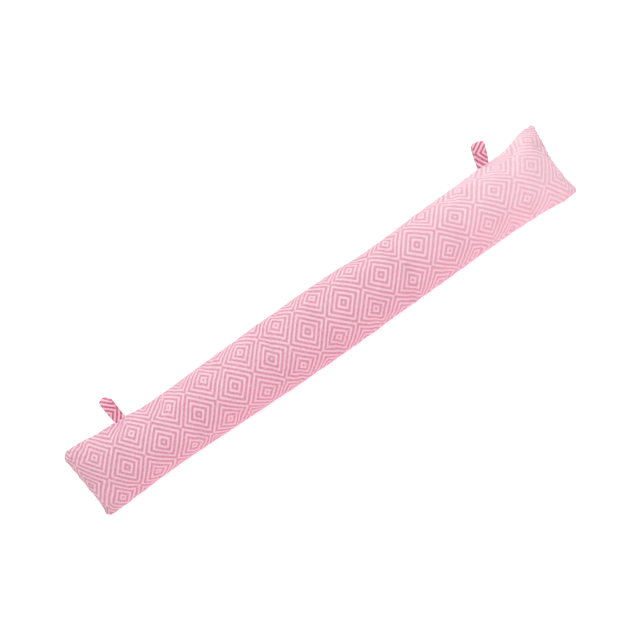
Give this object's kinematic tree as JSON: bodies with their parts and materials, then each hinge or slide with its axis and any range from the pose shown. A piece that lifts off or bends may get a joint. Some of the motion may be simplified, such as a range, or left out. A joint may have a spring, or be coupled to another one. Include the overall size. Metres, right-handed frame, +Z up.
{
  "type": "draught excluder",
  "caption": "Long filled fabric cushion that lies along the foot of a door to stop draughts, with two short sewn-in hanging loops on one long seam.",
  "frame": {"origin": "middle of the flat patch on the underside that the filled cover rests on", "axes": "+X along the length, +Y across towards the two loops, +Z up through the front panel"},
  "size_m": [0.9, 0.1553, 0.0771],
  "materials": {
    "cover_twill": "soft brushed diamond twill in two pinks",
    "loop_twill": "the same twill, folded, in its deeper pink"
  },
  "bodies": {
    "root": {"cover": "cover_twill", "loop_left": "loop_twill", "loop_right": "loop_twill"}
  },
  "joints": []
}
